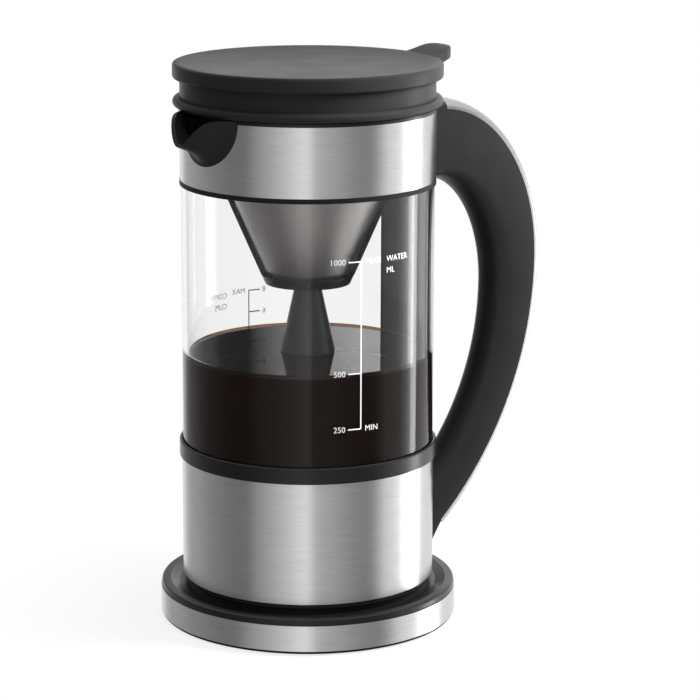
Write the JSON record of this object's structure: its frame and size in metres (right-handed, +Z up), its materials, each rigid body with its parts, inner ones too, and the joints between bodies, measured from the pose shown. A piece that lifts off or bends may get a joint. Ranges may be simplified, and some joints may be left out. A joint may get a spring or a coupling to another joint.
{
  "type": "electric percolator",
  "caption": "Tall glass coffee percolator jug with steel collars, black loop handle, pouring spout and lift-off lid, on a round cordless power base.",
  "frame": {"origin": "on the jug's axis, in the plane of the table under the base's anti-slip ring", "axes": "+Z up along the jug's axis, +X towards the handle, -X towards the spout (turned 10 degrees from there towards -Y), -Y towards the water scale"},
  "size_m": [0.1918, 0.1408, 0.2657],
  "materials": {
    "black_plastic": "fine satin",
    "brushed_steel": "brushed",
    "screw_steel": "plain",
    "silicone": "matte",
    "contact_brass": "plain",
    "glass": "clear",
    "filter_mesh": "fine mesh",
    "cast_aluminium": "cast",
    "element_sheath": "oxidised",
    "thermostat_body": "plain",
    "board": "lacquered",
    "switch_body": "plain"
  },
  "bodies": {
    "base": {"base_foot_ring": "silicone", "base_tray": "black_plastic", "base_steel_band": "brushed_steel", "base_deck": "black_plastic", "base_connector": "black_plastic", "base_contacts": "contact_brass", "base_screws": "screw_steel", "cord_gland": "black_plastic"},
    "jug": {"jug_bottom_cover": "black_plastic", "jug_socket": "black_plastic", "socket_contacts": "contact_brass", "lower_sleeve": "brushed_steel", "lower_collar": "black_plastic", "heater_plate": "brushed_steel", "heat_spreader": "cast_aluminium", "heating_element": "element_sheath", "thermostat": "thermostat_body", "control_board": "board", "button_switch": "switch_body", "button_bezel": "black_plastic", "housing_screws": "screw_steel", "lower_glass_seal": "silicone", "glass_tube": "glass", "upper_glass_seal": "silicone", "upper_collar": "brushed_steel", "neck_ring": "black_plastic", "pour_spout": "black_plastic", "handle_grip": "black_plastic", "handle_trim": "brushed_steel", "handle_screws": "screw_steel"},
    "button": {"start_button": "black_plastic"},
    "stem": {"brew_stem": "brushed_steel", "valve_seat": "brushed_steel"},
    "valve": {"valve_disc": "brushed_steel"},
    "basket": {"basket_frame": "black_plastic", "basket_mesh": "filter_mesh"},
    "spreader": {"spreader_plate": "brushed_steel"},
    "lid": {"lid_cap": "black_plastic", "lid_plug": "black_plastic", "lid_gasket": "silicone"}
  },
  "joints": [
    {"name": "jug_lift", "type": "slide", "parent": "base", "child": "jug", "axis": [0, 0, 1], "range_m": [0, 0.09]},
    {"name": "button_press", "type": "slide", "parent": "jug", "child": "button", "axis": [0, -1, 0], "range_m": [0, 0.0025], "stiffness_N_per_m": 800, "springref_m": -0.002},
    {"name": "stem_lift", "type": "slide", "parent": "jug", "child": "stem", "axis": [0, 0, 1], "range_m": [0, 0.17]},
    {"name": "valve_lift", "type": "slide", "parent": "stem", "child": "valve", "axis": [0, 0, 1], "range_m": [0, 0.002]},
    {"name": "basket_lift", "type": "slide", "parent": "stem", "child": "basket", "axis": [0, 0, 1], "range_m": [0, 0.09]},
    {"name": "spreader_lift", "type": "slide", "parent": "basket", "child": "spreader", "axis": [0, 0, 1], "range_m": [0, 0.04]},
    {"name": "lid_lift", "type": "slide", "parent": "spreader", "child": "lid", "axis": [0, 0, 1], "range_m": [0, 0.06]}
  ]
}
